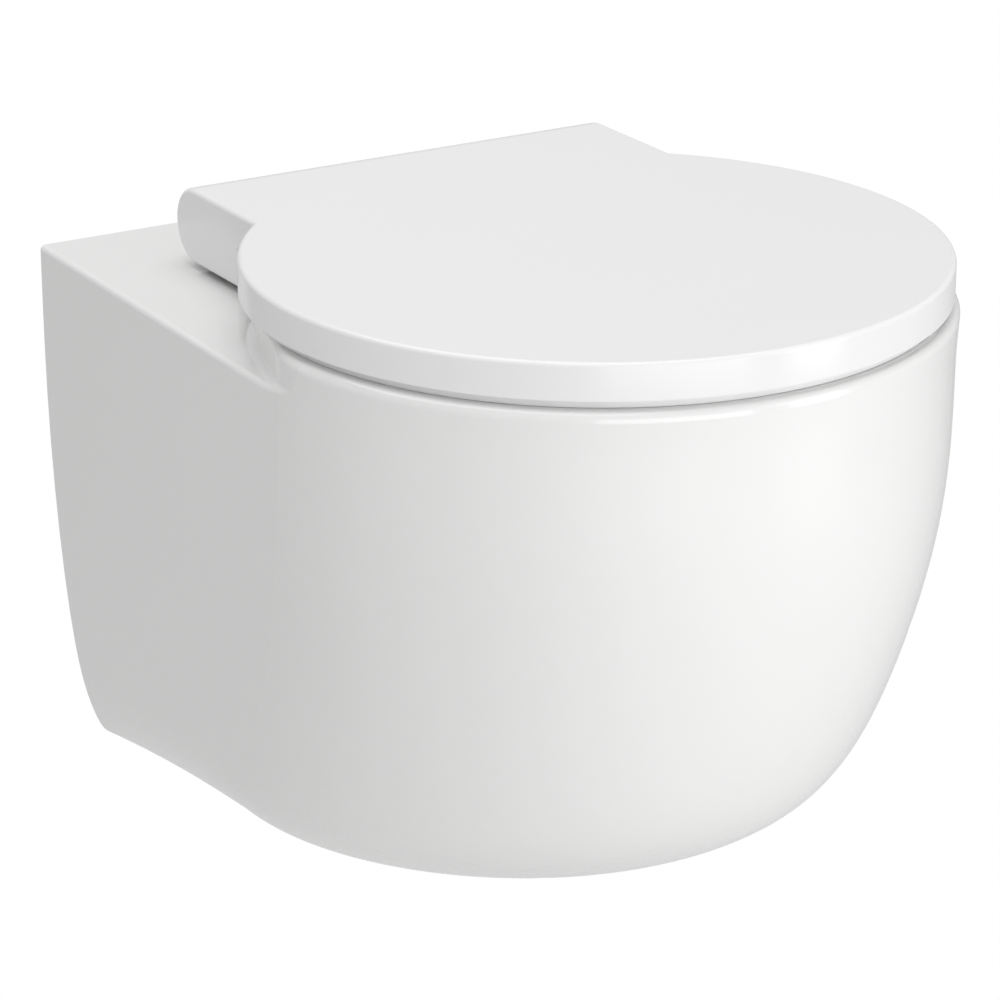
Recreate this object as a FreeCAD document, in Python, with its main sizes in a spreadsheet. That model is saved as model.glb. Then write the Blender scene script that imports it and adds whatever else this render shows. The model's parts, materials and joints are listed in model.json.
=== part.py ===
import FreeCAD, Part
import math
import os
import Sketcher
from FreeCAD import Placement, Rotation, Vector

# Wall hung toilet: a skirted ceramic pan with a wrap-over seat and lid.
# Millimetres. +Z up, +X to the right, the wall is the plane Y = 0 and the front points to -Y.
# The origin is on the wall face, midway between the two wall studs.

DIMENSIONS = {
    # ceramic pan, heights above the stud line and reaches from the wall
    "rim_top": 98, "deck_top": 76.5, "pan_floor": -228, "pan_deep": 331, "wall_thick": 12,
    "circle_back": 290, "nose_reach": 480.5, "nose_slope": 113.3, "nose_power": 2.555,
    "nose_tuck": 83.6, "tuck_power": 14, "widest_shift": 140.7, "shift_power": 2.634,
    "side_wide": 185.2, "side_lean": 23.16, "lean_power": 2.915, "side_swell": 5.55,
    "floor_round": 59.3, "wall_share": 0.167, "side_share": 0.909, "wall_overrun": 2,
    # raised rim and rear deck of the pan
    "raised_radius": 178.5, "raised_rear": 146, "chord_round": 12, "runout_angle": 18,
    "runout_bend": 100, "runout_clear": 0.5, "runout_wide": 195, "cutter_rear": 5,
    "cutter_high": 60, "rim_round": 5, "step_round": 5, "deck_round": 3,
    # bowl, trap and water ways
    "bowl_wall": 11, "trap_bore": 29, "trap_skin": 9, "trap_bend": 46, "trap_back": 256,
    "trap_top": 115, "trap_low": 165, "trap_weir_back": 129.7, "trap_weir_low": 7.1,
    "trap_rise_back": 172, "trap_level_back": 36.8, "outlet_drop": 100,
    "outlet_radius": 51, "outlet_bore": 44, "outlet_long": 34, "inlet_rise": 35,
    "inlet_radius": 27.5, "inlet_long": 35, "inlet_skin": 8.5, "duct_rise": 40, "duct_radius": 20,
    "duct_skin": 8, "duct_reach": 172, "guard_reach": 187, "guard_half": 40, "guard_thick": 3,
    "guard_corner": 12, "guard_play": 0.3, "guard_tube": 30, "guard_bore": 17.2,
    "rib_thick": 3, "rib_high": 2,
    # wall fixing
    "stud_spread": 90, "stud_bore": 6.1, "anchor_radius": 12.8, "anchor_long": 58,
    "boss_half": 20, "boss_reach": 62, "boss_low": 24, "boss_top": 70, "tunnel_radius": 13,
    "grub_radius": 4, "grub_reach": 31, "grub_low": 30, "grub_tip": 7.2, "access_radius": 10,
    # lid and seat
    "lid_top": 122.5, "lid_radius": 187.2, "lid_plate": 4, "lid_skirt": 19.5, "lid_wall": 3.6,
    "lid_edge": 2.6, "corner_round": 3, "block_half": 132, "block_front": 138,
    "block_root": 165, "cheek_thick": 4,
    "axis_back": 85.5, "axis_rise": 101.3, "barrel_radius": 21.2, "barrel_wall": 4,
    "slot_inner": 67.5, "slot_outer": 87.5,
    "seat_radius": 182, "seat_bottom": 99.8, "seat_thick": 17, "lip_radius": 185.4,
    "lip_wide": 9, "lip_bottom": 98.6, "lip_gap": 0.35, "seat_hole_half": 113,
    "seat_hole_reach": 128, "seat_hole_back": 292, "seat_bridge": 98, "bridge_rear": 112,
    "groove_deep": 8, "groove_radius": 174, "groove_margin": 8, "seat_round": 4,
    # hinges
    "shaft_radius": 5, "shaft_inner": 45, "shaft_outer": 122, "sleeve_radius": 9.5,
    "sleeve_gap": 0.1, "running_gap": 0.05, "seat_hub_inner": 47, "seat_hub_outer": 68,
    "seat_hub_radius": 13, "lid_hub_inner": 88, "lid_hub_outer": 120, "lid_hub_radius": 14,
    "post_inner": 70, "post_outer": 85, "eye_radius": 10, "foot_front": 50, "foot_rear": 19,
    "foot_top": 90, "gasket_thick": 2, "bolt_spread": 77.5, "bolt_back": 121.5,
    "bolt_radius": 4, "bolt_head": 6.5, "bolt_head_deep": 5, "bolt_tip": 30, "deck_hole": 8,
    "bung_radius": 7.8, "bung_bulge": 9.5, "bung_low": 44, "nut_low": 32, "nut_tip": 5.5,
    "head_long": 1.7, "socket_half": 2.9, "button_radius": 3.4, "button_pocket": 3.5,
    "button_rise": 84.25, "button_long": 7, "button_proud": 2, "pocket_deep": 8,
    # buffers
    "buffer_radius": 8, "buffer_circle": 160, "buffer_gap": 0.2, "boss_radius": 10.5,
    "lid_buffer_radius": 5, "lid_buffer_thick": 1.3,
}

doc = FreeCAD.newDocument("wall_hung_toilet")
sheet = doc.addObject("Spreadsheet::Sheet", "dims")
for row, (alias, number) in enumerate(DIMENSIONS.items(), 1):
    sheet.set(f"A{row}", alias)
    sheet.set(f"B{row}", str(number))
    sheet.setAlias(f"B{row}", alias)
doc.recompute()

NODES = []          # the objects that are written, one file each


# ---------------------------------------------------------------- helpers

def value(expression):
    """The number that an expression of the sheet gives now."""
    result = sheet.evalExpression(expression)
    return float(getattr(result, "Value", result))


def node(label, shape_object):
    """Names an object as one of the pieces that leave this file."""
    shape_object.Label = label
    NODES.append(shape_object)
    return shape_object


def new_body(name):
    return doc.addObject("PartDesign::Body", name)


def new_sketch(body, name, role, offset="0"):
    """A sketch on one of the body's own origin planes, moved along its normal."""
    sketch = body.newObject("Sketcher::SketchObject", name)
    origin_plane = next(item for item in body.Origin.OriginFeatures if item.Role == role)
    sketch.AttachmentSupport = [(origin_plane, "")]
    sketch.MapMode = "FlatFace"
    sketch.setExpression("AttachmentOffset.Base.z", offset)
    return sketch


def bound(sketch, constraint, expression):
    index = sketch.addConstraint(constraint)
    sketch.setExpression(f"Constraints[{index}]", expression)


def pin_point(sketch, geometry, point, across, along):
    """Fixes a sketch point at two bound distances from the sketch's origin."""
    for kind, axis, expression in (("DistanceX", -2, across), ("DistanceY", -1, along)):
        distance = value(expression)
        if abs(distance) < 1e-9:
            sketch.addConstraint(Sketcher.Constraint("PointOnObject", geometry, point, axis))
        else:
            constraint = Sketcher.Constraint(kind, -1, 1, geometry, point, distance)
            bound(sketch, constraint, expression)


def polygon(sketch, points):
    """A closed outline of straight lines whose corners are pairs of expressions."""
    places = [Vector(value(across), value(along), 0) for across, along in points]
    first = sketch.GeometryCount
    for start, end in zip(places, places[1:] + places[:1]):
        sketch.addGeometry(Part.LineSegment(start, end))
    last = first + len(points) - 1
    for index in range(first, last + 1):
        following = first if index == last else index + 1
        sketch.addConstraint(Sketcher.Constraint("Coincident", index, 2, following, 1))
    for index, (across, along) in enumerate(points, first):
        pin_point(sketch, index, 1, across, along)


def rectangle(sketch, left, right, low, high):
    polygon(sketch, [(left, low), (right, low), (right, high), (left, high)])


def circle(sketch, across, along, radius):
    centre = Vector(value(across), value(along), 0)
    index = sketch.addGeometry(Part.Circle(centre, Vector(0, 0, 1), value(radius)))
    pin_point(sketch, index, 3, across, along)
    bound(sketch, Sketcher.Constraint("Radius", index, value(radius)), radius)


def ellipse(sketch, back, half, reach):
    """A full ellipse on the centre line, longer from front to rear than across."""
    c, a, b = value(back), value(half), value(reach)
    outline = Part.Ellipse(Vector(0, -c - b, 0), Vector(a, -c, 0), Vector(0, -c, 0))
    index = sketch.addGeometry(outline)
    sketch.exposeInternalGeometry(index)
    major, minor = index + 1, index + 2
    sketch.addConstraint(Sketcher.Constraint("PointOnObject", index, 3, -2))
    sketch.addConstraint(Sketcher.Constraint("Vertical", major))
    bound(sketch, Sketcher.Constraint("DistanceY", index, 3, -1, 1, c), back)
    bound(sketch, Sketcher.Constraint("Distance", major, 2 * b), f"2*({reach})")
    bound(sketch, Sketcher.Constraint("Distance", minor, 2 * a), f"2*({half})")


def pad(body, name, sketch, length, midplane=False, reverse=False):
    feature = body.newObject("PartDesign::Pad", name)
    feature.Profile = sketch
    feature.setExpression("Length", length)
    feature.Midplane = midplane
    feature.Reversed = reverse
    return feature


def pocket(body, name, sketch, length, midplane=False, reverse=False):
    """A cut of given depth, checked to take material away."""
    doc.recompute()
    before = body.Shape.Volume
    feature = body.newObject("PartDesign::Pocket", name)
    feature.Profile = sketch
    feature.setExpression("Length", length)
    feature.Midplane = midplane
    feature.Reversed = reverse
    doc.recompute()
    if not body.Shape.Volume < before - 1e-3:
        raise RuntimeError(f"{name} cuts nothing")
    return feature


def mirror_across_centre(body, name, features):
    """Repeats features on the other side of the plane X = 0."""
    mirrored = body.newObject("PartDesign::Mirrored", name)
    mirrored.Originals = features
    centre_plane = next(item for item in body.Origin.OriginFeatures if item.Role == "YZ_Plane")
    mirrored.MirrorPlane = (centre_plane, [""])
    body.Tip = mirrored
    doc.recompute()
    return mirrored


def round_edges(body, name, radius, chosen):
    """Fillets the edges of the body's present shape that a test picks."""
    doc.recompute()
    base = body.Tip
    names = [f"Edge{i}" for i, edge in enumerate(base.Shape.Edges, 1) if chosen(edge)]
    feature = body.newObject("PartDesign::Fillet", name)
    feature.Base = (base, names)
    feature.setExpression("Radius", radius)
    doc.recompute()
    return feature


def revolved(name, profile, axis_x, axis_y, low="0"):
    """A turned piece: (radius, height) corners spun about a vertical line."""
    body = new_body(name)
    sketch = new_sketch(body, f"{name}_profile", "XZ_Plane")
    polygon(sketch, [(radius, height) for radius, height in profile])
    feature = body.newObject("PartDesign::Revolution", f"{name}_turn")
    feature.Profile = sketch
    feature.ReferenceAxis = (sketch, ["V_Axis"])
    feature.Angle = 360
    body.setExpression("Placement.Base.x", axis_x)
    body.setExpression("Placement.Base.y", axis_y)
    body.setExpression("Placement.Base.z", low)
    return body


def cylinder(name, radius, length, place, along="Z"):
    """A round bar from a start point along +X, +Y or +Z."""
    bar = doc.addObject("Part::Cylinder", name)
    turn = {"X": Rotation(Vector(0, 1, 0), 90), "Y": Rotation(Vector(1, 0, 0), -90),
            "Z": Rotation()}[along]
    bar.Placement = Placement(Vector(0, 0, 0), turn)
    bar.setExpression("Radius", radius)
    bar.setExpression("Height", length)
    for letter, expression in zip("xyz", place):
        bar.setExpression(f"Placement.Base.{letter}", expression)
    return bar


def box(name, low, size):
    block = doc.addObject("Part::Box", name)
    for prop, expression in zip(("Length", "Width", "Height"), size):
        block.setExpression(prop, expression)
    for letter, expression in zip("xyz", low):
        block.setExpression(f"Placement.Base.{letter}", expression)
    return block


def fuse(name, parts):
    joined = doc.addObject("Part::MultiFuse", name)
    joined.Shapes = parts
    joined.Refine = True
    return joined


def cut(name, base, tool):
    result = doc.addObject("Part::Cut", name)
    result.Base = base
    result.Tool = tool
    result.Refine = True
    return result


def group(name, parts):
    """Identical separate solids that share one node."""
    compound = doc.addObject("Part::Compound", name)
    compound.Links = parts
    return compound


# ---------------------------------------------------------------- ceramic pan

def skirt_level(body, name, level, inset, rounding, depth):
    """One horizontal outline of the skirt: the wall side straight, the front half an ellipse.

    depth runs from 0 at the rim to 1 at the floor, and drives how the sides lean in,
    how the nose recedes and how far back the widest place lies. rounding is how far the
    floor edge has drawn in at the nose; it draws in less at the sides and least at the wall.
    """
    sketch = new_sketch(body, name, "XY_Plane", level)
    lean = f"dims.side_wide - dims.side_lean*{depth}^dims.lean_power - ({inset})"
    side = f"({lean} - dims.wall_share*{rounding})"
    half = f"({lean} + dims.side_swell*(1 - {depth}) - dims.side_share*{rounding})"
    nose = (f"(dims.nose_reach - dims.nose_slope*{depth}^dims.nose_power"
            f" - dims.nose_tuck*{depth}^dims.tuck_power - ({inset}) - {rounding})")
    widest = f"(dims.circle_back - dims.widest_shift*{depth}^dims.shift_power)"
    w, a, n, c = value(side), value(half), value(nose), value(widest)
    over = value("dims.wall_overrun")
    tip, flank, centre = Vector(0, -n, 0), Vector(a, -c, 0), Vector(0, -c, 0)
    long_nose = n - c > a
    if long_nose:
        whole, first_angle = Part.Ellipse(tip, flank, centre), -math.pi / 2
    else:
        whole, first_angle = Part.Ellipse(flank, centre * 2 - tip, centre), math.pi
    front = sketch.addGeometry(Part.ArcOfEllipse(whole, first_angle, first_angle + math.pi))
    right = sketch.addGeometry(Part.LineSegment(Vector(a, -c, 0), Vector(w, over, 0)))
    rear = sketch.addGeometry(Part.LineSegment(Vector(w, over, 0), Vector(-w, over, 0)))
    left = sketch.addGeometry(Part.LineSegment(Vector(-w, over, 0), Vector(-a, -c, 0)))
    sketch.exposeInternalGeometry(front)
    major, minor = left + 1, left + 2
    rule = Sketcher.Constraint
    sketch.addConstraint([
        rule("Coincident", front, 2, right, 1), rule("Coincident", right, 2, rear, 1),
        rule("Coincident", rear, 2, left, 1), rule("Coincident", left, 2, front, 1),
        rule("PointOnObject", front, 3, -2), rule("Vertical" if long_nose else "Horizontal", major),
        rule("Horizontal", front, 1, front, 3), rule("Horizontal", front, 2, front, 3),
        rule("Symmetric", rear, 1, rear, 2, -2),
    ])
    bound(sketch, rule("DistanceY", -1, 1, rear, 1, over), "dims.wall_overrun")
    bound(sketch, rule("DistanceX", rear, 2, rear, 1, 2 * w), f"2*{side}")
    bound(sketch, rule("DistanceY", front, 3, -1, 1, c), widest)
    along, across = (major, minor) if long_nose else (minor, major)
    bound(sketch, rule("Distance", along, 2 * (n - c)), f"2*({nose} - {widest})")
    bound(sketch, rule("Distance", across, 2 * a), f"2*{half}")
    return sketch


def skirt_form(name, top, floor, inset, corner):
    """The outside or the inside of the skirt, lofted down to a rounded floor edge."""
    body = new_body(name)
    levels = [(f"{top} - {fraction}*({top} - ({floor}) - ({corner}))", "0")
              for fraction in (0, 0.3, 0.55, 0.8, 1)]
    for angle in (25, 50, 70, 90):
        drop = 1 - math.sin(math.radians(angle))
        draw_in = 1 - math.cos(math.radians(angle))
        levels.append((f"{floor} + {drop:.4f}*({corner})", f"({draw_in:.4f}*({corner}))"))
    sections = []
    for number, (level, rounding) in enumerate(levels):
        depth = f"((dims.rim_top - ({level}))/dims.pan_deep)"
        sections.append(skirt_level(body, f"{name}_{number}", level, inset, rounding, depth))
    doc.recompute()
    loft = body.newObject("PartDesign::AdditiveLoft", f"{name}_loft")
    loft.Profile = sections[0]
    loft.Sections = sections[1:]
    return body


def bowl_form(name, grow, extra_depth):
    """The washed surface of the bowl, or its outside when grown by the ceramic thickness.

    Each row: height, half width, half length and distance of the middle from the wall.
    """
    rows = [(98, 132, 136, 303), (50, 128, 132, 301), (0, 112, 118, 296),
            (-50, 84, 88, 284), (-95, 58, 62, 266), (-135, 40, 42, 256)]
    body = new_body(name)
    sections = []
    for number, (height, half, reach, back) in enumerate(rows):
        lower = f" - {extra_depth}" if number == len(rows) - 1 else ""
        sketch = new_sketch(body, f"{name}_{number}", "XY_Plane", f"{height}{lower}")
        ellipse(sketch, f"{back}", f"{half} + {grow}", f"{reach} + {grow}")
        sections.append(sketch)
    doc.recompute()
    loft = body.newObject("PartDesign::AdditiveLoft", f"{name}_loft")
    loft.Profile = sections[0]
    loft.Sections = sections[1:]
    return body


def trap_route(body, name):
    """The trap's centre line: down from the bowl, up over the weir, down to the outlet.

    Corners are distances from the wall and heights; every corner is a tangent arc.
    """
    corners = [
        ("dims.trap_back", "-dims.trap_top"),
        ("dims.trap_back", "-dims.trap_low"),
        ("dims.trap_rise_back", "-dims.trap_low"),
        ("dims.trap_weir_back", "-dims.trap_weir_low"),
        ("dims.trap_level_back", "-dims.outlet_drop"),
        ("0", "-dims.outlet_drop"),
    ]
    points = [Vector(-value(back), value(height), 0) for back, height in corners]
    bend = value("dims.trap_bend")
    sketch = new_sketch(body, name, "YZ_Plane")
    joints = []         # (index, point id where the run enters, point id where it leaves)
    start = points[0]
    for before, corner, after in zip(points, points[1:], points[2:]):
        inward = (before - corner).normalize()
        outward = (after - corner).normalize()
        half_turn = (math.pi - inward.getAngle(outward)) / 2
        setback = bend * math.tan(half_turn)
        arc_start = corner + inward * setback
        arc_end = corner + outward * setback
        middle_way = (inward + outward).normalize()
        centre = corner + middle_way * (bend / math.cos(half_turn))
        joints.append((sketch.addGeometry(Part.LineSegment(start, arc_start)), 1, 2))
        arc = Part.Arc(arc_start, centre - middle_way * bend, arc_end)
        clockwise = inward.cross(outward).z > 0
        joints.append((sketch.addGeometry(arc), *((2, 1) if clockwise else (1, 2))))
        start = arc_end
    joints.append((sketch.addGeometry(Part.LineSegment(start, points[-1])), 1, 2))
    for (index, _, leaving), (following, entering, _) in zip(joints, joints[1:]):
        sketch.addConstraint(
            Sketcher.Constraint("Coincident", index, leaving, following, entering))
    return sketch


def trap_form(name, radius):
    """A round way swept along the trap's centre line."""
    body = new_body(name)
    route = trap_route(body, f"{name}_route")
    mouth = new_sketch(body, f"{name}_mouth", "XY_Plane", "-dims.trap_top")
    circle(mouth, "0", "-dims.trap_back", radius)
    doc.recompute()
    sweep = body.newObject("PartDesign::AdditivePipe", f"{name}_sweep")
    sweep.Profile = mouth
    sweep.Spine = (route, [f"Edge{i + 1}" for i in range(route.GeometryCount)])
    doc.recompute()
    return body


def deck_cutter():
    """What is taken off above the rear deck: all that lies outside the raised round rim.

    Each half of the rim's wall runs from a straight chord at the rear over an arc about
    the bowl circle, leaves it along a tangent, and bends forward again until it lies
    along the skirt. It breaks through the skirt there at a few degrees only.
    """
    body = new_body("deck_cutter")
    sketch = new_sketch(body, "deck_cutter_outline", "XY_Plane", "dims.deck_top")
    centre = Vector(0, -value("dims.circle_back"), 0)
    radius = value("dims.raised_radius")
    bend = value("dims.runout_bend")
    clear = value("dims.side_wide") + value("dims.side_swell") + value("dims.runout_clear")
    chord_y = -value("dims.raised_rear")
    chord_turn = math.asin((chord_y - centre.y) / radius)
    leave = math.radians(value("dims.runout_angle"))
    straight = math.sqrt((clear - bend) ** 2 - (radius - bend) ** 2)
    merge = leave - math.atan2(straight, radius - bend)
    outer_x = value("dims.runout_wide")
    rear_y = value("dims.cutter_rear")

    def ring_point(side, middle, distance, angle):
        return middle + Vector(side * math.cos(angle), math.sin(angle), 0) * distance

    def wall_line(side):
        """One half of the wall, from the rear chord to the merge with the skirt."""
        chord_end = ring_point(side, centre, radius, chord_turn)
        middle = ring_point(side, centre, radius, (chord_turn + leave) / 2)
        tangent = ring_point(side, centre, radius, leave)
        forward = Vector(side * math.sin(leave), -math.cos(leave), 0)
        bend_start = tangent + forward * straight
        bend_centre = ring_point(side, centre, clear - bend, merge)
        bend_middle = ring_point(side, bend_centre, bend, (leave + merge) / 2)
        bend_end = ring_point(side, bend_centre, bend, merge)
        corner = Vector(side * outer_x, bend_end.y, 0)
        rear = Vector(side * outer_x, rear_y, 0)
        return chord_end, rear, [
            Part.Arc(chord_end, middle, tangent),
            Part.LineSegment(tangent, bend_start),
            Part.Arc(bend_start, bend_middle, bend_end),
            Part.LineSegment(bend_end, corner),
            Part.LineSegment(corner, rear),
        ]

    left_chord, left_rear, left_lines = wall_line(-1)
    right_chord, right_rear, right_lines = wall_line(1)
    sketch.addGeometry(left_lines + right_lines + [
        Part.LineSegment(left_chord, right_chord),
        Part.LineSegment(left_rear, right_rear),
    ])
    pad(body, "deck_cutter_pad", sketch, "dims.cutter_high")

    def chord_corner(edge):
        upright = edge.BoundBox.ZLength > 1
        return upright and abs(edge.BoundBox.YMax - chord_y) < 1e-3

    round_edges(body, "deck_cutter_corners", "dims.chord_round", chord_corner)

    def foot(edge):
        middle = edge.valueAt(0.5 * (edge.FirstParameter + edge.LastParameter))
        level = edge.BoundBox.ZMax < value("dims.deck_top") + 1e-3
        on_wall = middle.y < chord_y + 1 and abs(edge.BoundBox.XMax) < outer_x - 1e-3
        return level and on_wall and abs(edge.BoundBox.XMin) < outer_x - 1e-3

    round_edges(body, "deck_cutter_foot", "dims.step_round", foot)
    return body


def build_pan():
    outside = skirt_form("skirt_outside", "dims.rim_top", "dims.pan_floor", "0",
                         "dims.floor_round")
    inside = skirt_form("skirt_inside", "(dims.deck_top - dims.wall_thick)",
                        "(dims.pan_floor + dims.wall_thick)", "dims.wall_thick",
                        "dims.floor_round - dims.wall_thick")
    block = cut("stepped_block", outside, deck_cutter())
    doc.recompute()
    rim_level = value("dims.rim_top")
    deck_level = value("dims.deck_top")

    def rounding(edge):
        """The radius for the rim's top edges and for the deck's two side edges."""
        bounds = edge.BoundBox
        if bounds.ZMin > rim_level - 1e-3:
            return value("dims.rim_round")
        at_deck = abs(bounds.ZMin - deck_level) + abs(bounds.ZMax - deck_level) < 1e-3
        one_side = bounds.XMin * bounds.XMax > 0
        outermost = min(abs(bounds.XMin), abs(bounds.XMax)) > value("dims.side_wide") - 1
        return value("dims.deck_round") if at_deck and one_side and outermost else 0

    rounded = doc.addObject("Part::Fillet", "rounded_block")
    rounded.Base = block
    rounded.Edges = [(number, rounding(edge), rounding(edge))
                     for number, edge in enumerate(block.Shape.Edges, 1) if rounding(edge)]

    bowl_out = bowl_form("bowl_outside", "dims.bowl_wall", "dims.bowl_wall")
    bowl_in = bowl_form("bowl_inside", "0", "0")
    trap_out = trap_form("trap_outside", "dims.trap_bore + dims.trap_skin")
    trap_in = trap_form("trap_inside", "dims.trap_bore")
    spigot = cylinder("outlet_spigot", "dims.outlet_radius", "dims.outlet_long",
                      ("0", "-dims.outlet_long", "-dims.outlet_drop"), "Y")
    spigot_bore = cylinder("outlet_bore", "dims.outlet_bore", "dims.outlet_long + 1",
                           ("0", "-dims.outlet_long + 8", "-dims.outlet_drop"), "Y")
    horn = cylinder("inlet_horn", "dims.inlet_radius + dims.inlet_skin", "dims.inlet_long + 8",
                    ("0", "-dims.inlet_long - 8", "dims.inlet_rise"), "Y")
    horn_bore = cylinder("inlet_bore", "dims.inlet_radius", "dims.inlet_long + 1",
                         ("0", "-dims.inlet_long", "dims.inlet_rise"), "Y")
    duct = cylinder("duct_outside", "dims.duct_radius + dims.duct_skin", "dims.duct_reach - 20",
                    ("0", "-dims.duct_reach", "dims.duct_rise"), "Y")
    duct_bore = cylinder("duct_inside", "dims.duct_radius", "dims.duct_reach - 20",
                         ("0", "-dims.duct_reach", "dims.duct_rise"), "Y")
    solids = [bowl_out, trap_out, spigot, horn, duct]
    hollows = [bowl_in, trap_in, spigot_bore, horn_bore, duct_bore]
    for side, sign in (("left", "-1"), ("right", "1")):
        stud_x = f"{sign}*dims.stud_spread"
        solids.append(box(f"fixing_boss_{side}",
                          (f"{stud_x} - dims.boss_half", "-dims.boss_reach", "-dims.boss_low"),
                          ("2*dims.boss_half", "dims.boss_reach", "dims.boss_low + dims.boss_top")))
        hollows.append(cylinder(f"fixing_tunnel_{side}", "dims.tunnel_radius",
                                "dims.boss_reach + 2", (stud_x, "-dims.boss_reach - 1", "0"), "Y"))
        hollows.append(cylinder(f"grub_hole_{side}", "dims.grub_radius + 0.3", "30",
                                (stud_x, "-dims.grub_reach", "-dims.boss_low - 10")))
        hollows.append(cylinder(f"access_hole_{side}", "dims.access_radius",
                                "dims.wall_thick + 4",
                                (stud_x, "-dims.grub_reach", "dims.pan_floor - 2")))
        hollows.append(cylinder(f"hinge_hole_{side}", "dims.deck_hole", "dims.wall_thick + 4",
                                (f"{sign}*dims.bolt_spread", "-dims.bolt_back",
                                 "dims.deck_top - dims.wall_thick - 2")))
    hollow_room = cut("hollow_room", inside, fuse("inner_ceramic", solids))
    shell = cut("shell", rounded, hollow_room)
    behind_wall = box("behind_wall", ("-220", "0", "dims.pan_floor - 5"), ("440", "20", "400"))
    node("pan", cut("pan_solid", shell, fuse("taken_out", hollows + [behind_wall])))


# ---------------------------------------------------------------- seat and lid

def hinge_point(across, up):
    """A sketch point on the YZ plane, measured from the hinge axis."""
    return (f"{across} - dims.axis_back", f"{up} + dims.axis_rise")


def hub(body, name, radius, inner, outer):
    """A round hub about the hinge axis between two distances from the centre plane."""
    sketch = new_sketch(body, f"{name}_circle", "YZ_Plane", inner)
    circle(sketch, "-dims.axis_back", "dims.axis_rise", radius)
    return pad(body, name, sketch, f"{outer} - {inner}")


def hub_bore(body, name, inner, outer):
    sketch = new_sketch(body, f"{name}_circle", "YZ_Plane", f"{inner} - 1")
    circle(sketch, "-dims.axis_back", "dims.axis_rise", "dims.sleeve_radius + dims.sleeve_gap")
    return pocket(body, name, sketch, f"{outer} - {inner} + 2", reverse=True)


def buffer_places():
    """Angles from the front at which the seat's buffers stand, on one circle."""
    return [math.radians(angle) for angle in (-128, -38, 38, 128)]


def build_seat_ring():
    body = new_body("seat_ring_body")
    plate = new_sketch(body, "seat_disc", "XY_Plane", "dims.seat_bottom")
    circle(plate, "0", "-dims.circle_back", "dims.seat_radius")
    pad(body, "seat_disc_pad", plate, "dims.seat_thick")
    lip = new_sketch(body, "seat_lip", "XY_Plane", "dims.lip_bottom")
    circle(lip, "0", "-dims.circle_back", "dims.lip_radius")
    circle(lip, "0", "-dims.circle_back", "dims.lip_radius - dims.lip_wide")
    pad(body, "seat_lip_pad", lip, "dims.lid_top - dims.lid_skirt - dims.lip_gap - dims.lip_bottom")
    bridge = new_sketch(body, "seat_bridge", "XY_Plane", "dims.seat_bottom")
    rectangle(bridge, "-dims.seat_bridge", "dims.seat_bridge", "-dims.bridge_rear - 45",
              "-dims.bridge_rear")
    pad(body, "seat_bridge_pad", bridge, "dims.seat_thick")
    hole = new_sketch(body, "seat_hole", "XY_Plane", "dims.seat_bottom - 1")
    ellipse(hole, "dims.seat_hole_back", "dims.seat_hole_half", "dims.seat_hole_reach")
    pocket(body, "seat_hole_cut", hole, "dims.seat_thick + 2", reverse=True)
    groove = new_sketch(body, "seat_groove", "XY_Plane", "dims.seat_bottom")
    circle(groove, "0", "-dims.circle_back", "dims.groove_radius")
    ellipse(groove, "dims.seat_hole_back", "dims.seat_hole_half + dims.groove_margin",
            "dims.seat_hole_reach + dims.groove_margin")
    for angle in buffer_places():
        circle(groove, f"dims.buffer_circle*{math.sin(angle):.5f}",
               f"-dims.circle_back - dims.buffer_circle*{math.cos(angle):.5f}",
               "dims.boss_radius")
    pocket(body, "seat_groove_cut", groove, "dims.groove_deep", reverse=True)
    arm = new_sketch(body, "seat_arm", "YZ_Plane", "dims.seat_hub_inner")
    polygon(arm, [hinge_point("-28", "-1.5"), hinge_point("-28", "14.5"), hinge_point("-6", "12.5"),
                  hinge_point("0", "12"), hinge_point("0", "-12"), hinge_point("-12", "-5")])
    width = "dims.seat_hub_outer - dims.seat_hub_inner"
    arm_pad = pad(body, "seat_arm_pad", arm, width)
    hub_pad = hub(body, "seat_hub", "dims.seat_hub_radius", "dims.seat_hub_inner",
                  "dims.seat_hub_outer")
    mirror_across_centre(body, "seat_arms", [arm_pad, hub_pad])
    bore = hub_bore(body, "seat_hub_bore", "dims.seat_hub_inner", "dims.seat_hub_outer")
    mirror_across_centre(body, "seat_bores", [bore])
    top = value("dims.seat_bottom") + value("dims.seat_thick")

    def upper_rim(edge):
        box_ = edge.BoundBox
        return (box_.ZMin > top - 1e-3 and box_.ZMax < top + 1e-3
                and box_.XLength > 150 and box_.YLength > 100)

    round_edges(body, "seat_soft_edges", "dims.seat_round", upper_rim)
    node("seat_ring", body)


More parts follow.
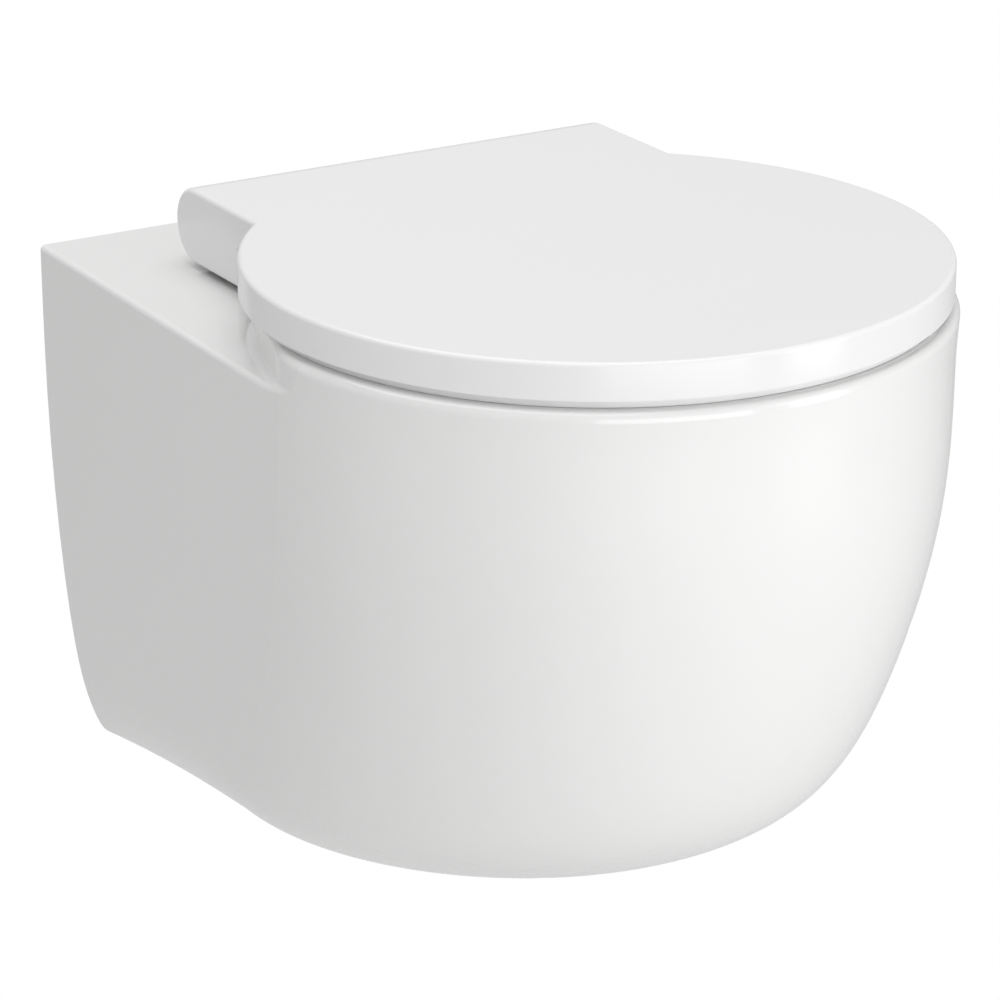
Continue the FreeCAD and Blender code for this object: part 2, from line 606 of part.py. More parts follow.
def build_lid():
    body = new_body("lid_body")
    disc = new_sketch(body, "lid_disc", "XY_Plane", "dims.lid_top - dims.lid_skirt")
    circle(disc, "0", "-dims.circle_back", "dims.lid_radius")
    pad(body, "lid_disc_pad", disc, "dims.lid_skirt")
    block = new_sketch(body, "lid_block", "YZ_Plane")
    skirt_low = "dims.lid_top - dims.lid_skirt"
    block_low = "dims.axis_rise - dims.barrel_radius"
    polygon(block, [("-dims.block_root", skirt_low), ("-dims.block_front", skirt_low),
                    ("-dims.block_front", block_low), ("-dims.axis_back", block_low),
                    ("-dims.axis_back", "dims.lid_top"), ("-dims.block_root", "dims.lid_top")])
    pad(body, "lid_block_pad", block, "2*dims.block_half", midplane=True)
    barrel = new_sketch(body, "lid_barrel", "YZ_Plane")
    circle(barrel, "-dims.axis_back", "dims.axis_rise", "dims.barrel_radius")
    pad(body, "lid_barrel_pad", barrel, "2*dims.block_half", midplane=True)
    doc.recompute()
    top = value("dims.lid_top")

    def inner_corner(edge):
        upright = edge.BoundBox.ZLength > value("dims.lid_skirt") - 1
        at_disc = edge.CenterOfMass.y < -value("dims.block_front") - 5
        return upright and at_disc and abs(edge.CenterOfMass.x) < value("dims.block_half") + 1

    round_edges(body, "lid_inner_corners", "dims.corner_round", inner_corner)

    def top_edge(edge):
        box_ = edge.BoundBox
        level = box_.ZMin > top - 1e-3 and box_.ZMax < top + 1e-3
        return level and edge.BoundBox.YMax < -value("dims.axis_back") + 1 \
            and not (box_.YLength < 1e-3 and abs(box_.YMax + value("dims.axis_back")) < 1e-3)

    round_edges(body, "lid_soft_edges", "dims.lid_edge", top_edge)
    room = new_sketch(body, "lid_room", "XY_Plane", "dims.lid_top - dims.lid_skirt - 1")
    circle(room, "0", "-dims.circle_back", "dims.lid_radius - dims.lid_wall")
    pocket(body, "lid_room_cut", room, "dims.lid_skirt - dims.lid_plate + 1", reverse=True)
    inner = "(dims.barrel_radius - dims.barrel_wall)"
    inner_width = "2*(dims.block_half - dims.cheek_thick)"
    shaft_room = new_sketch(body, "barrel_room", "YZ_Plane")
    circle(shaft_room, "-dims.axis_back", "dims.axis_rise", inner)
    pocket(body, "barrel_room_cut", shaft_room, inner_width, midplane=True)
    under = new_sketch(body, "block_room", "YZ_Plane")
    polygon(under, [hinge_point("0", inner), hinge_point("0", "0"), hinge_point("8", "-30"),
                    hinge_point("-75", "-30"), hinge_point("-75", inner)])
    pocket(body, "block_room_cut", under, inner_width, midplane=True)
    slot = new_sketch(body, "post_slot", "YZ_Plane", "dims.slot_inner")
    polygon(slot, [hinge_point("0", "0"), hinge_point("20.1", "28.7"), hinge_point("40", "28.7"),
                   hinge_point("40", "-40"), hinge_point("0", "-40")])
    slot_cut = pocket(body, "post_slot_cut", slot, "dims.slot_outer - dims.slot_inner",
                      reverse=True)
    mirror_across_centre(body, "post_slots", [slot_cut])
    rib = new_sketch(body, "hub_rib", "YZ_Plane", "dims.lid_hub_inner")
    polygon(rib, [hinge_point("-13", "0"), hinge_point("9", "0"), hinge_point("9", "15.5"),
                  hinge_point("0", f"{inner} + 1"), hinge_point("-13", f"{inner} + 1")])
    width = "dims.lid_hub_outer - dims.lid_hub_inner"
    rib_pad = pad(body, "hub_rib_pad", rib, width)
    hub_pad = hub(body, "lid_hub", "dims.lid_hub_radius", "dims.lid_hub_inner",
                  "dims.lid_hub_outer")
    mirror_across_centre(body, "lid_hubs", [rib_pad, hub_pad])
    bore = hub_bore(body, "lid_hub_bore", "dims.lid_hub_inner", "dims.lid_hub_outer")
    mirror_across_centre(body, "lid_bores", [bore])
    node("lid", body)


def build_buffers():
    """Soft feet: four between seat and rim, three between lid and seat."""
    feet = []
    for number, angle in enumerate(buffer_places()):
        place = (f"dims.buffer_circle*{math.sin(angle):.5f}",
                 f"-dims.circle_back - dims.buffer_circle*{math.cos(angle):.5f}",
                 "dims.rim_top + dims.buffer_gap")
        feet.append(cylinder(f"seat_foot_{number}", "dims.buffer_radius",
                             "dims.seat_bottom - dims.rim_top - dims.buffer_gap", place))
    node("seat_buffers", group("seat_buffer_group", feet))
    pads = []
    for number, angle in enumerate((-60, 0, 60)):
        sine = math.sin(math.radians(angle))
        cosine = math.cos(math.radians(angle))
        place = (f"dims.buffer_circle*{sine:.5f}",
                 f"-dims.circle_back - dims.buffer_circle*{cosine:.5f}",
                 "dims.lid_top - dims.lid_plate - dims.lid_buffer_thick")
        pads.append(cylinder(f"lid_pad_{number}", "dims.lid_buffer_radius",
                             "dims.lid_buffer_thick", place))
    node("lid_buffers", group("lid_buffer_group", pads))


# ---------------------------------------------------------------- hinges

def sleeve(label, inner, outer):
    """A damper cartridge or bush that turns on the shaft."""
    bar = cylinder(f"{label}_bar", "dims.sleeve_radius", f"abs(({outer}) - ({inner}))",
                   (inner, "-dims.axis_back", "dims.axis_rise"), "X")
    bore = cylinder(f"{label}_bore", "dims.shaft_radius + dims.running_gap",
                    f"abs(({outer}) - ({inner})) + 2",
                    (f"{inner} - 1", "-dims.axis_back", "dims.axis_rise"), "X")
    node(label, cut(f"{label}_solid", bar, bore))


def build_hinge(side, sign):
    post = new_body(f"hinge_post_{side}_body")
    inner = "dims.post_inner" if sign > 0 else "-dims.post_outer"
    width = "dims.post_outer - dims.post_inner"
    bolt_x = f"{sign}*dims.bolt_spread"
    eye = new_sketch(post, f"post_eye_{side}", "YZ_Plane", inner)
    circle(eye, "-dims.axis_back", "dims.axis_rise", "dims.eye_radius")
    pad(post, f"post_eye_pad_{side}", eye, width)
    neck = new_sketch(post, f"post_neck_{side}", "YZ_Plane", inner)
    foot_low = "dims.deck_top + dims.gasket_thick - dims.axis_rise"
    foot_high = "dims.foot_top - dims.axis_rise"
    polygon(neck, [hinge_point("-4", "9"), hinge_point("-26", foot_high),
                   hinge_point("-dims.foot_front", foot_high),
                   hinge_point("-dims.foot_front", foot_low),
                   hinge_point("-dims.foot_rear", foot_low),
                   hinge_point("-dims.foot_rear", "-13"), hinge_point("-5", "-8.4"),
                   hinge_point("0", "0")])
    pad(post, f"post_neck_pad_{side}", neck, width)
    shaft_hole = new_sketch(post, f"post_shaft_hole_{side}", "YZ_Plane", f"{inner} - 1")
    circle(shaft_hole, "-dims.axis_back", "dims.axis_rise", "dims.shaft_radius + 0.02")
    pocket(post, f"post_shaft_bore_{side}", shaft_hole, f"{width} + 2", reverse=True)
    bolt_hole = new_sketch(post, f"post_bolt_hole_{side}", "XY_Plane", "dims.deck_top")
    circle(bolt_hole, bolt_x, "-dims.bolt_back", "dims.bolt_radius + 0.2")
    pocket(post, f"post_bolt_bore_{side}", bolt_hole, "dims.foot_top - dims.deck_top + 1",
           reverse=True)
    button_hole = new_sketch(post, f"post_button_hole_{side}", "XZ_Plane",
                             "dims.axis_back + dims.foot_front + 1")
    circle(button_hole, bolt_x, "dims.button_rise", "dims.button_pocket")
    pocket(post, f"post_button_pocket_{side}", button_hole, "dims.pocket_deep + 1")
    node(f"hinge_post_{side}", post)

    shaft_start = "dims.shaft_inner" if sign > 0 else "-dims.shaft_outer"
    head_start = "dims.shaft_outer - dims.head_long" if sign > 0 else "-dims.shaft_outer"
    node(f"hinge_shaft_{side}", fuse(f"shaft_{side}", [
        cylinder(f"shaft_bar_{side}", "dims.shaft_radius", "dims.shaft_outer - dims.shaft_inner",
                 (shaft_start, "-dims.axis_back", "dims.axis_rise"), "X"),
        cylinder(f"shaft_head_{side}", "dims.shaft_radius + 2", "dims.head_long",
                 (head_start, "-dims.axis_back", "dims.axis_rise"), "X")]))

    button = cylinder(f"button_{side}", "dims.button_radius", "dims.button_long",
                      (bolt_x, "-dims.axis_back - dims.foot_front - dims.button_proud",
                       "dims.button_rise"), "Y")
    node(f"release_button_{side}", button)

    gasket = new_body(f"post_gasket_{side}_body")
    pad_outline = new_sketch(gasket, f"gasket_outline_{side}", "XY_Plane", "dims.deck_top")
    rectangle(pad_outline, f"{bolt_x} - 9", f"{bolt_x} + 9", "-dims.axis_back - dims.foot_front",
              "-dims.axis_back - dims.foot_rear")
    circle(pad_outline, bolt_x, "-dims.bolt_back", "dims.bolt_radius + 0.2")
    pad(gasket, f"gasket_pad_{side}", pad_outline, "dims.gasket_thick")
    node(f"post_gasket_{side}", gasket)

    radius, head = "dims.bolt_radius", "dims.bolt_head"
    node(f"hinge_bolt_{side}", revolved(f"hinge_bolt_{side}_body", [
        ("0", "dims.bolt_tip"), (f"{radius} - 0.8", "dims.bolt_tip"),
        (radius, "dims.bolt_tip + 0.8"), (radius, "dims.foot_top"), (head, "dims.foot_top"),
        (head, "dims.foot_top + dims.bolt_head_deep - 1"),
        (f"{head} - 1", "dims.foot_top + dims.bolt_head_deep"),
        ("dims.socket_half", "dims.foot_top + dims.bolt_head_deep"),
        ("dims.socket_half", "dims.foot_top + dims.bolt_head_deep - 3"),
        ("0", "dims.foot_top + dims.bolt_head_deep - 3")], bolt_x, "-dims.bolt_back"))
    clear = f"{radius} + dims.running_gap"
    under = "dims.deck_top - dims.wall_thick"
    node(f"expansion_bung_{side}", revolved(f"expansion_bung_{side}_body", [
        (clear, "dims.bung_low"), ("dims.bung_bulge - 1.5", "dims.bung_low"),
        ("dims.bung_bulge", "dims.bung_low + 4"),
        ("dims.bung_bulge", f"{under} - 3"), ("dims.bung_radius", f"{under} - 1"),
        ("dims.bung_radius", "dims.deck_top - 0.5"), (clear, "dims.deck_top - 0.5")],
        bolt_x, "-dims.bolt_back"))
    node(f"cone_nut_{side}", revolved(f"cone_nut_{side}_body", [
        (clear, "dims.nut_low"), ("dims.bung_bulge", "dims.nut_low"),
        ("dims.bung_bulge", "dims.nut_low + 5"), ("dims.nut_tip", "dims.bung_low - 0.1"),
        (clear, "dims.bung_low - 0.1")], bolt_x, "-dims.bolt_back"))


def build_hinge_sleeves():
    sleeve("seat_damper", "-dims.seat_hub_outer", "-dims.seat_hub_inner")
    sleeve("seat_bush", "dims.seat_hub_inner", "dims.seat_hub_outer")
    sleeve("lid_bush", "-dims.lid_hub_outer", "-dims.lid_hub_inner")
    sleeve("lid_damper", "dims.lid_hub_inner", "dims.lid_hub_outer")


# ---------------------------------------------------------------- wall fixing and flushing

def build_wall_fixing(side, sign):
    stud_x = f"{sign}*dims.stud_spread"
    bar = cylinder(f"anchor_bar_{side}", "dims.anchor_radius", "dims.anchor_long",
                   (stud_x, "-dims.anchor_long", "0"), "Y")
    thread = cylinder(f"anchor_thread_{side}", "dims.stud_bore", "dims.anchor_long + 2",
                      (stud_x, "-dims.anchor_long - 1", "0"), "Y")
    seat_hole = cylinder(f"anchor_grub_hole_{side}", "dims.grub_radius + dims.running_gap", "12",
                         (stud_x, "-dims.grub_reach", "-dims.anchor_radius - 4"))
    node(f"wall_anchor_{side}", cut(f"anchor_{side}", bar,
                                    fuse(f"anchor_holes_{side}", [thread, seat_hole])))
    node(f"grub_screw_{side}", revolved(f"grub_screw_{side}_body", [
        ("0", "-dims.grub_low + 3"), ("dims.grub_radius/2", "-dims.grub_low"),
        ("dims.grub_radius - 0.5", "-dims.grub_low"),
        ("dims.grub_radius", "-dims.grub_low + 0.5"),
        ("dims.grub_radius", "-dims.grub_tip - 1.8"),
        ("dims.grub_radius - 1.5", "-dims.grub_tip"), ("0", "-dims.grub_tip")],
        stud_x, "-dims.grub_reach"))


def build_flush_distributor():
    """A splash guard plugged into the flush duct, open to both sides of the bowl."""
    plate_body = new_body("distributor_plate")
    outline = new_sketch(plate_body, "plate_outline", "XZ_Plane", "dims.guard_reach")
    rectangle(outline, "-dims.guard_half", "dims.guard_half", "dims.duct_rise - dims.duct_radius",
              "dims.duct_rise + dims.duct_radius")
    pad(plate_body, "plate_pad", outline, "dims.guard_thick")
    round_edges(plate_body, "plate_corners", "dims.guard_corner",
                lambda edge: edge.BoundBox.YLength > 2.5 and edge.BoundBox.ZLength < 0.1)
    tube = cylinder("distributor_tube", "dims.duct_radius - dims.guard_play", "dims.guard_tube",
                    ("0", "-dims.duct_reach", "dims.duct_rise"), "Y")
    tube_bore = cylinder("distributor_bore", "dims.guard_bore", "dims.guard_tube + 2",
                         ("0", "-dims.duct_reach - 1", "dims.duct_rise"), "Y")
    ribs = [box(f"distributor_rib_{name}",
                ("-dims.rib_thick/2", "-dims.guard_reach - 1", f"dims.duct_rise + {offset}"),
                ("dims.rib_thick", "dims.guard_reach - dims.duct_reach + 2", "dims.rib_high"))
            for name, offset in (("low", "(-dims.guard_bore - dims.rib_high + 0.5)"),
                                 ("high", "(dims.guard_bore - 0.5)"))]
    ring = cut("distributor_ring", tube, tube_bore)
    node("flush_distributor", fuse("distributor_solid", [plate_body, ring] + ribs))


# ---------------------------------------------------------------- build, check and write

build_pan()
build_seat_ring()
build_lid()
build_buffers()
for side_name, side_sign in (("left", -1), ("right", 1)):
    build_hinge(side_name, side_sign)
    build_wall_fixing(side_name, side_sign)
build_hinge_sleeves()
build_flush_distributor()
doc.recompute()

for item in doc.Objects:
    if "Invalid" in item.State or "Error" in item.State:
        raise RuntimeError(f"{item.Name} failed: {item.State}")
os.makedirs("parts", exist_ok=True)
for item in NODES:
    shape = item.Shape
    if shape.isNull() or not shape.isValid():
        raise RuntimeError(f"{item.Label} has no valid shape")
    shape.exportStep(os.path.join("parts", f"{item.Label}.step"))
    print(f"{item.Label}: {len(shape.Solids)} solid(s), {shape.Volume / 1000:.1f} cm3")
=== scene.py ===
import json
import math
import bpy
from mathutils import Matrix, Vector


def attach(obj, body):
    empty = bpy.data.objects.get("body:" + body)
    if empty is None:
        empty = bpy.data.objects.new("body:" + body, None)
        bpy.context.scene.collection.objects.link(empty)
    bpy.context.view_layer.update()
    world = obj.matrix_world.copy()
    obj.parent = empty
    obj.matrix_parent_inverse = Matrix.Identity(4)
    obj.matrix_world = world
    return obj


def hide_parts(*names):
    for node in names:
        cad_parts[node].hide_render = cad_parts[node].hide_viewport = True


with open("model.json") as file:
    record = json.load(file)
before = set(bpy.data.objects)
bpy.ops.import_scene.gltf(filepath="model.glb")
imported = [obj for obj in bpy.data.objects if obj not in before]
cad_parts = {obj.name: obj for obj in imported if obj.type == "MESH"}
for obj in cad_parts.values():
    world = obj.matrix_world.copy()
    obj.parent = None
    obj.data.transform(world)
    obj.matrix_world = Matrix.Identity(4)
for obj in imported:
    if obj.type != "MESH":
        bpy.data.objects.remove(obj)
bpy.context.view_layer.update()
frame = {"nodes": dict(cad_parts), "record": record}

NODES = frame["nodes"]
SCENE = bpy.context.scene
NOISE_SPAN = (0.3, 0.7)     # the part of the noise's output that is spread over a range


# ---------------------------------------------------------------- materials

def new_material(name, base, roughness, metallic=0.0):
    """A node material on a Principled shader with its uniform values on the sockets."""
    material = bpy.data.materials.new(name)
    material.use_nodes = True
    shader = material.node_tree.nodes["Principled BSDF"]
    shader.inputs["Base Color"].default_value = (*base, 1.0)
    shader.inputs["Roughness"].default_value = roughness
    shader.inputs["Metallic"].default_value = metallic
    return material, shader


def mottled(material, shader, socket, low, high, scale, detail=3.0, stretch=(1, 1, 1)):
    """Varies one scalar socket with object-space noise between two values."""
    nodes, links = material.node_tree.nodes, material.node_tree.links
    noise_low, noise_high = NOISE_SPAN
    coordinates = nodes.new("ShaderNodeTexCoord")
    mapping = nodes.new("ShaderNodeMapping")
    mapping.inputs["Scale"].default_value = stretch
    noise = nodes.new("ShaderNodeTexNoise")
    noise.inputs["Scale"].default_value = scale
    noise.inputs["Detail"].default_value = detail
    spread = nodes.new("ShaderNodeMapRange")
    spread.inputs["From Min"].default_value = noise_low
    spread.inputs["From Max"].default_value = noise_high
    spread.inputs["To Min"].default_value = low
    spread.inputs["To Max"].default_value = high
    links.new(coordinates.outputs["Object"], mapping.inputs["Vector"])
    links.new(mapping.outputs["Vector"], noise.inputs["Vector"])
    links.new(noise.outputs["Fac"], spread.inputs["Value"])
    links.new(spread.outputs["Result"], shader.inputs[socket])


def waved(material, shader, scale, distance, strength=1.0, detail=2.0):
    """A bump from object-space noise, for orange peel, moulding texture or grain."""
    nodes, links = material.node_tree.nodes, material.node_tree.links
    coordinates = nodes.new("ShaderNodeTexCoord")
    noise = nodes.new("ShaderNodeTexNoise")
    noise.inputs["Scale"].default_value = scale
    noise.inputs["Detail"].default_value = detail
    bump = nodes.new("ShaderNodeBump")
    bump.inputs["Distance"].default_value = distance
    bump.inputs["Strength"].default_value = strength
    links.new(coordinates.outputs["Object"], noise.inputs["Vector"])
    links.new(noise.outputs["Fac"], bump.inputs["Height"])
    links.new(bump.outputs["Normal"], shader.inputs["Normal"])


def build_materials():
    """One material for every material slot of the record, under the slot's name."""
    made = {}

    glaze, shader = new_material("glazed_ceramic", (0.80, 0.80, 0.795), 0.10)
    shader.inputs["IOR"].default_value = 1.52
    shader.inputs["Coat Weight"].default_value = 0.35
    shader.inputs["Coat Roughness"].default_value = 0.04
    mottled(glaze, shader, "Roughness", 0.08, 0.14, 6.0)
    waved(glaze, shader, 9.0, 0.0008, 0.12)
    made["ceramic"] = glaze

    lid, shader = new_material("lid_gloss_plastic", (0.80, 0.80, 0.80), 0.16)
    shader.inputs["IOR"].default_value = 1.49
    mottled(lid, shader, "Roughness", 0.13, 0.19, 10.0)
    waved(lid, shader, 14.0, 0.0004, 0.08)
    made["lid_plastic"] = lid

    seat, shader = new_material("seat_gloss_plastic", (0.79, 0.79, 0.79), 0.18)
    mottled(seat, shader, "Roughness", 0.15, 0.22, 12.0)
    made["seat_plastic"] = seat

    chrome, shader = new_material("hinge_chrome", (0.66, 0.67, 0.69), 0.12, 1.0)
    mottled(chrome, shader, "Roughness", 0.08, 0.18, 90.0)
    made["hinge_metal"] = chrome

    steel, shader = new_material("brushed_steel", (0.56, 0.57, 0.58), 0.32, 1.0)
    mottled(steel, shader, "Roughness", 0.24, 0.40, 300.0, stretch=(0.1, 1, 1))
    waved(steel, shader, 900.0, 0.00005, 0.4)
    made["steel"] = steel

    button, shader = new_material("button_plastic", (0.26, 0.27, 0.28), 0.4)
    mottled(button, shader, "Roughness", 0.35, 0.48, 400.0)
    made["button_plastic"] = button

    damper, shader = new_material("damper_plastic", (0.022, 0.022, 0.024), 0.42)
    mottled(damper, shader, "Roughness", 0.36, 0.5, 300.0)
    made["damper_plastic"] = damper

    bush, shader = new_material("bush_plastic", (0.70, 0.70, 0.68), 0.38)
    mottled(bush, shader, "Roughness", 0.32, 0.45, 200.0)
    made["bush_plastic"] = bush

    rubber, shader = new_material("grey_rubber", (0.50, 0.50, 0.48), 0.72)
    mottled(rubber, shader, "Roughness", 0.65, 0.8, 250.0)
    waved(rubber, shader, 700.0, 0.0001, 0.5)
    made["rubber"] = rubber

    clear, shader = new_material("clear_rubber", (0.72, 0.72, 0.70), 0.3)
    shader.inputs["Transmission Weight"].default_value = 0.3
    mottled(clear, shader, "Roughness", 0.25, 0.36, 250.0)
    made["clear_rubber"] = clear

    nut, shader = new_material("nut_plastic", (0.62, 0.62, 0.60), 0.45)
    mottled(nut, shader, "Roughness", 0.4, 0.52, 250.0)
    made["nut_plastic"] = nut

    brass, shader = new_material("anchor_brass", (0.56, 0.40, 0.16), 0.28, 1.0)
    mottled(brass, shader, "Roughness", 0.2, 0.36, 260.0)
    made["anchor_brass"] = brass
    return made


MATERIALS = build_materials()
SLOT_OF = {row["node"]: row["material_slot"] for row in frame["record"]["subparts"]}
for node_name, cad_node in NODES.items():
    cad_node.data.materials.clear()
    cad_node.data.materials.append(MATERIALS[SLOT_OF[node_name]])


# ---------------------------------------------------------------- lid and seat

# In metres. These repeat sizes of the solids.
HINGE = Vector((0, -0.0855, 0.1013))
BOWL_BACK = 0.290           # from the wall to the centre of the round front
LID_TOP = 0.1225
LID_SKIRT = 0.0195
LID_RADIUS = 0.1872
LID_EDGE = 0.0026
CORNER_ROUND = 0.003
BLOCK_HALF = 0.132
SEAT_RADIUS = 0.182
LIP_BOTTOM = 0.0986

# These hold for the shown pieces alone.
LIP_SHOWN = 0.18205         # radius of the shown lip; the solid's is 0.1854
LIP_DROP = 0.0004           # how far the shown lip reaches below the solid's
LIP_INSIDE = 0.01           # how far in from the seat's radius its bottom is lowered
FLAT_INSET = 0.0006         # a narrow flat row that keeps the top's shading off the edge
EDGE_ROWS = 9
STEP = math.radians(1.0)
SHARP = math.radians(32)

# Tolerances for telling where a packed vertex lies
NEAR = 1e-5                 # still at a height or line
NEAR_CHEEK = 2e-6           # still on the flat side of the hinge block
NEAR_SIDE = 5e-5            # still on the round side
CLEAR = 1e-4                # clearly past a height or line
LIP_MARGIN = 3e-4           # clearly outside the seat's radius
BLOCK_REACH = 0.05          # the round side starts this far in front of the hinge


def arc(centre, radius, start, end):
    """Points of a flat arc with their outward directions, about one per degree."""
    count = max(4, round(abs(end - start) / STEP))
    angles = [start + (end - start) * number / count for number in range(count + 1)]
    return [(Vector(centre) + Vector((math.cos(a), math.sin(a))) * radius,
             Vector((math.cos(a), math.sin(a))) * math.copysign(1, radius)) for a in angles]


def lid_outline():
    """The lid from above: block side, corner, round front, corner and block side.

    Gives the place and the outward direction of every point, and the numbers of the
    first and last point of the part that reaches down as the skirt.
    """
    reach = LID_RADIUS + CORNER_ROUND
    corner_x = BLOCK_HALF + CORNER_ROUND
    corner_y = -BOWL_BACK + math.sqrt(reach ** 2 - corner_x ** 2)
    meet = math.atan2(corner_y + BOWL_BACK, corner_x)
    left_side = [(Vector((-BLOCK_HALF, y)), Vector((-1, 0)))
                 for y in (HINGE.y, (HINGE.y + corner_y) / 2, corner_y)]
    left_corner = [(point, -way) for point, way in
                   arc((-corner_x, corner_y), CORNER_ROUND, 0, -meet)]
    front = arc((0, -BOWL_BACK), LID_RADIUS, math.pi - meet, 2 * math.pi + meet)
    right_corner = [(Vector((-point.x, point.y)), Vector((-way.x, way.y)))
                    for point, way in reversed(left_corner)]
    right_side = [(Vector((-point.x, point.y)), Vector((-way.x, way.y)))
                  for point, way in reversed(left_side)]
    points = left_side + left_corner[1:] + front[1:] + right_corner[1:] + right_side[1:]
    return points, len(left_side) - 1, len(points) - len(right_side)


def on_rebuilt_skin(face, vertices):
    """Whether a face of the lid belongs to the top, its rounding or the round side."""
    corners = [vertices[number].co for number in face.vertices]
    if all(c.z > LID_TOP - LID_EDGE - NEAR and c.y < HINGE.y + NEAR for c in corners):
        return min(c.y for c in corners) < HINGE.y - CLEAR
    on_side = all(math.hypot(c.x, c.y + BOWL_BACK) > LID_RADIUS - NEAR_SIDE
                  and c.z > LID_TOP - LID_SKIRT - NEAR and c.y < HINGE.y - BLOCK_REACH
                  for c in corners)
    on_cheek = all(abs(abs(c.x) - BLOCK_HALF) < NEAR_CHEEK for c in corners)
    upright = max(c.z for c in corners) > LID_TOP - LID_SKIRT + CLEAR
    return on_side and upright and not on_cheek


def new_piece(name, mesh, replaced, body):
    """Shows a mesh instead of a CAD node, with that node's material and motion."""
    mesh.materials.clear()
    mesh.materials.append(MATERIALS[SLOT_OF[replaced]])
    piece = bpy.data.objects.new(name, mesh)
    SCENE.collection.objects.link(piece)
    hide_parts(replaced)
    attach(piece, body)


def build_lid():
    """The lid with its outer skin in fine, even rows, so that its edge shines evenly."""
    old = NODES["lid"].data
    kept = [face for face in old.polygons if not on_rebuilt_skin(face, old.vertices)]
    vertices = [tuple(vertex.co) for vertex in old.vertices]
    faces = [tuple(face.vertices) for face in kept]
    points, first, last = lid_outline()

    def add_row(inset, height):
        start = len(vertices)
        for point, way in points:
            place = point - way * inset
            vertices.append((place.x, place.y, height))
        return start

    def join_rows(lower, upper, begin, end):
        for number in range(begin, end):
            faces.append((lower + number, lower + number + 1, upper + number + 1,
                          upper + number))

    bottom = add_row(0, LID_TOP - LID_SKIRT)
    row = add_row(0, LID_TOP - LID_EDGE)
    join_rows(bottom, row, first, last)
    for step in range(1, EDGE_ROWS + 1):
        turn = math.radians(90) * step / EDGE_ROWS
        following = add_row(LID_EDGE * (1 - math.cos(turn)),
                            LID_TOP - LID_EDGE * (1 - math.sin(turn)))
        join_rows(row, following, 0, len(points) - 1)
        row = following
    flat = add_row(LID_EDGE + FLAT_INSET, LID_TOP)
    join_rows(row, flat, 0, len(points) - 1)
    faces.append(tuple(range(flat, flat + len(points))))
    mesh = bpy.data.meshes.new("lid_shell")
    mesh.from_pydata(vertices, [], faces)
    mesh.validate()
    mesh.shade_smooth()
    mesh.set_sharp_from_angle(angle=SHARP)
    new_piece("lid_shell", mesh, "lid", "lid")


def build_seat():
    """The seat with its lip drawn in under the lid and its bottom a little lower."""
    mesh = NODES["seat_ring"].data.copy()
    for vertex in mesh.vertices:
        radius = math.hypot(vertex.co.x, vertex.co.y + BOWL_BACK)
        if radius > SEAT_RADIUS + LIP_MARGIN:
            shrink = LIP_SHOWN / radius
            vertex.co.x *= shrink
            vertex.co.y = (vertex.co.y + BOWL_BACK) * shrink - BOWL_BACK
        if vertex.co.z < LIP_BOTTOM + CLEAR and radius > SEAT_RADIUS - LIP_INSIDE:
            vertex.co.z = LIP_BOTTOM - LIP_DROP
    new_piece("seat_shell", mesh, "seat_ring", "seat")


build_lid()
build_seat()


# ---------------------------------------------------------------- setting, light and camera

WORLD_SEEN = 1.0
WORLD_LIGHTING = 0.568
FLOOR_HEIGHT = -0.75
FLOOR_SIZE = 12
FLOOR_COLOUR = (0.72, 0.72, 0.72)
LIT_POINT = Vector((0, -0.25, 0))

# The camera as solved from the photo
CAMERA_TURN = math.radians(-30.87)
CAMERA_RISE = math.radians(20.65)
CAMERA_PLACE = (-1.1164, -2.0597, 0.7704)
CAMERA_LENS = 150.83
FILM_WIDTH = 36
VIEW_END = 20


def direction(turn, rise):
    """The way from the object to a place around it; a turn of 0 is straight in front."""
    return Vector((math.sin(turn) * math.cos(rise), -math.cos(turn) * math.cos(rise),
                   math.sin(rise)))


def soft_light(name, centre, target, width, height, power):
    """A rectangular area light at one point, turned towards another."""
    data = bpy.data.lights.new(name, "AREA")
    data.shape = "RECTANGLE"
    data.size = width
    data.size_y = height
    data.energy = power
    lamp = bpy.data.objects.new(name, data)
    SCENE.collection.objects.link(lamp)
    lamp.location = centre
    lamp.rotation_euler = (Vector(target) - Vector(centre)).to_track_quat("-Z", "Y").to_euler()


def around_object(name, azimuth, elevation, distance, width, height, power):
    """A soft light placed by its direction from the object, in degrees, and aimed at it."""
    way = direction(math.radians(azimuth), math.radians(elevation))
    soft_light(name, LIT_POINT + way * distance, LIT_POINT, width, height, power)


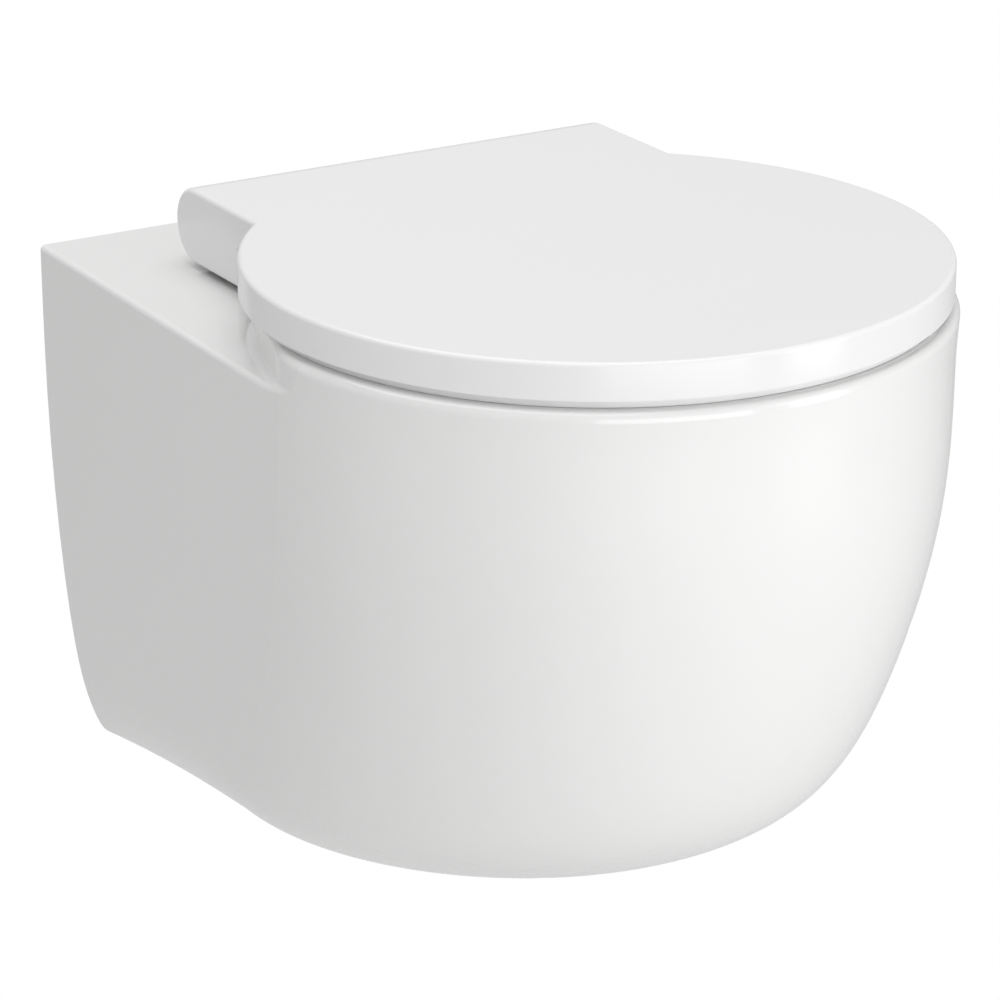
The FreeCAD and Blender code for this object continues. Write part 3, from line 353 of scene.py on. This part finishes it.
def white_world(seen, lighting):
    """White behind the object for the camera, and a dimmer even white as light."""
    world = bpy.data.worlds.new("studio")
    SCENE.world = world
    world.use_nodes = True
    nodes, links = world.node_tree.nodes, world.node_tree.links
    nodes.clear()
    output = nodes.new("ShaderNodeOutputWorld")
    mix = nodes.new("ShaderNodeMixShader")
    path = nodes.new("ShaderNodeLightPath")
    room = nodes.new("ShaderNodeBackground")
    room.inputs["Color"].default_value = (1, 1, 1, 1)
    room.inputs["Strength"].default_value = lighting
    backdrop = nodes.new("ShaderNodeBackground")
    backdrop.inputs["Color"].default_value = (1, 1, 1, 1)
    backdrop.inputs["Strength"].default_value = seen
    links.new(path.outputs["Is Camera Ray"], mix.inputs["Fac"])
    links.new(room.outputs["Background"], mix.inputs[1])
    links.new(backdrop.outputs["Background"], mix.inputs[2])
    links.new(mix.outputs["Shader"], output.inputs["Surface"])


def floor_plane(height, size):
    """A plain pale floor well below the hanging pan; the camera sees it as white."""
    bpy.ops.mesh.primitive_plane_add(size=size, location=(0, 0, height))
    plane = bpy.context.object
    plane.name = "studio_floor"
    material = bpy.data.materials.new("pale_floor")
    material.use_nodes = True
    nodes, links = material.node_tree.nodes, material.node_tree.links
    shader = nodes["Principled BSDF"]
    shader.inputs["Base Color"].default_value = (*FLOOR_COLOUR, 1)
    shader.inputs["Roughness"].default_value = 0.9
    white = nodes.new("ShaderNodeEmission")
    white.inputs["Color"].default_value = (1, 1, 1, 1)
    white.inputs["Strength"].default_value = 1.0
    path = nodes.new("ShaderNodeLightPath")
    mix = nodes.new("ShaderNodeMixShader")
    links.new(path.outputs["Is Camera Ray"], mix.inputs["Fac"])
    links.new(shader.outputs["BSDF"], mix.inputs[1])
    links.new(white.outputs["Emission"], mix.inputs[2])
    links.new(mix.outputs["Shader"], nodes["Material Output"].inputs["Surface"])
    plane.data.materials.append(material)


def photo_camera():
    """The photo's camera, upright and looking along its solved direction."""
    data = bpy.data.cameras.new("photo_camera")
    data.lens = CAMERA_LENS
    data.sensor_width = FILM_WIDTH
    data.clip_end = VIEW_END
    camera = bpy.data.objects.new("photo_camera", data)
    SCENE.collection.objects.link(camera)
    camera.location = CAMERA_PLACE
    back = direction(CAMERA_TURN, CAMERA_RISE)
    right = Vector((math.cos(CAMERA_TURN), math.sin(CAMERA_TURN), 0))
    up = back.cross(right)
    camera.rotation_euler = Matrix((right, up, back)).transposed().to_euler()
    SCENE.camera = camera


SCENE.view_settings.view_transform = "Standard"
white_world(WORLD_SEEN, WORLD_LIGHTING)
floor_plane(FLOOR_HEIGHT, FLOOR_SIZE)
# Azimuth and elevation in degrees, distance, width and height in metres, power in watts
around_object("strip_right", 37, 10, 2.5, 0.9, 2.2, 15)
around_object("front_fill", -8, 0, 3.0, 2.6, 2.4, 40)
around_object("top_fill", -145, 79, 2.2, 2.4, 2.4, 30)
photo_camera()
